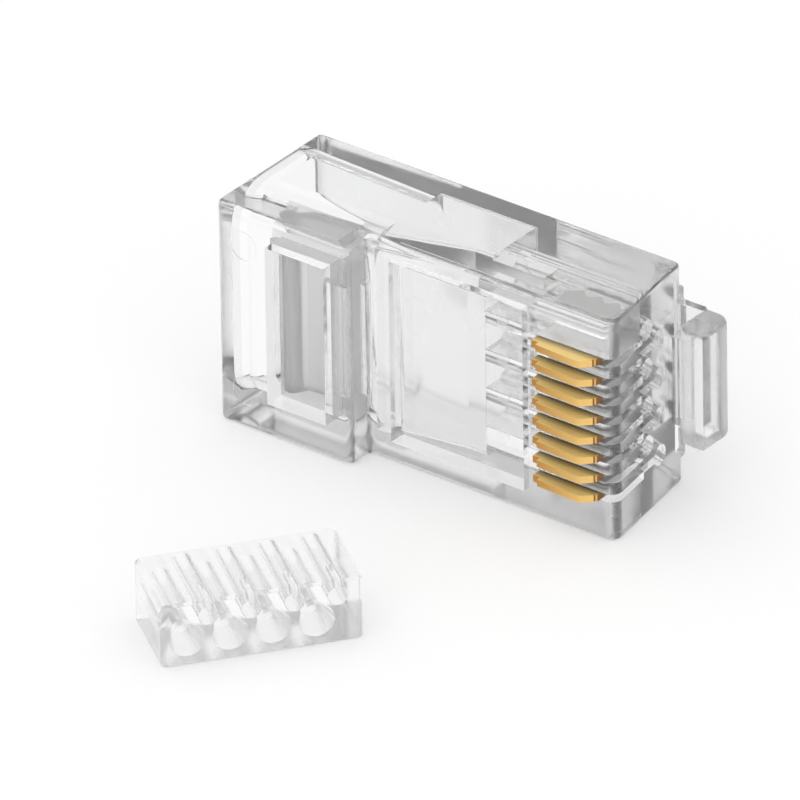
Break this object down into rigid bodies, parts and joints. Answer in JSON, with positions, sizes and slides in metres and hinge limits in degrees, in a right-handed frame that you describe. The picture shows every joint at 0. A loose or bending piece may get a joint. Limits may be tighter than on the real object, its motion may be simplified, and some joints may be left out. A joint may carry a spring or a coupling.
{
  "type": "modular plug",
  "caption": "Clear modular plug on its side, with gold contact blades, a sprung latch, a crimp-down strain relief bar and a separate wire load bar.",
  "frame": {"origin": "on the side it lies on, under the middle of the housing's length and thickness", "axes": "+X towards the nose that enters the jack, -Y the contact side, +Y the latch side, +Z across the row of contacts"},
  "size_m": [0.0231, 0.0321, 0.0117],
  "materials": {
    "clear_moulding": "clear gloss polycarbonate",
    "clear_load_bar": "clear satin polycarbonate",
    "gold_contact": "gold-plated phosphor bronze"
  },
  "bodies": {
    "plug": {"housing": "clear_moulding", "load_bar": "clear_load_bar"},
    "latch": {"latch_lever": "clear_moulding"},
    "strain_relief": {"strain_relief_bar": "clear_moulding"},
    "contact_blade_1": {"contact_blade_1": "gold_contact"},
    "contact_blade_2": {"contact_blade_2": "gold_contact"},
    "contact_blade_3": {"contact_blade_3": "gold_contact"},
    "contact_blade_4": {"contact_blade_4": "gold_contact"},
    "contact_blade_5": {"contact_blade_5": "gold_contact"},
    "contact_blade_6": {"contact_blade_6": "gold_contact"},
    "contact_blade_7": {"contact_blade_7": "gold_contact"},
    "contact_blade_8": {"contact_blade_8": "gold_contact"}
  },
  "joints": [
    {"name": "latch_press", "type": "hinge", "parent": "plug", "child": "latch", "pos_m": [0.01045, 0.00495, 0.00584], "axis": [0, 0, 1], "range_deg": [0, 12], "stiffness_Nm_per_rad": 0.2},
    {"name": "strain_relief_crimp", "type": "hinge", "parent": "plug", "child": "strain_relief", "pos_m": [-0.008, -0.00215, 0.00584], "axis": [0, 0, 1], "range_deg": [0, 18]},
    {"name": "contact_blade_1_crimp", "type": "slide", "parent": "plug", "child": "contact_blade_1", "axis": [0, 1, 0], "range_m": [0, 0.001]},
    {"name": "contact_blade_2_crimp", "type": "slide", "parent": "plug", "child": "contact_blade_2", "axis": [0, 1, 0], "range_m": [0, 0.001]},
    {"name": "contact_blade_3_crimp", "type": "slide", "parent": "plug", "child": "contact_blade_3", "axis": [0, 1, 0], "range_m": [0, 0.001]},
    {"name": "contact_blade_4_crimp", "type": "slide", "parent": "plug", "child": "contact_blade_4", "axis": [0, 1, 0], "range_m": [0, 0.001]},
    {"name": "contact_blade_5_crimp", "type": "slide", "parent": "plug", "child": "contact_blade_5", "axis": [0, 1, 0], "range_m": [0, 0.001]},
    {"name": "contact_blade_6_crimp", "type": "slide", "parent": "plug", "child": "contact_blade_6", "axis": [0, 1, 0], "range_m": [0, 0.001]},
    {"name": "contact_blade_7_crimp", "type": "slide", "parent": "plug", "child": "contact_blade_7", "axis": [0, 1, 0], "range_m": [0, 0.001]},
    {"name": "contact_blade_8_crimp", "type": "slide", "parent": "plug", "child": "contact_blade_8", "axis": [0, 1, 0], "range_m": [0, 0.001]}
  ]
}
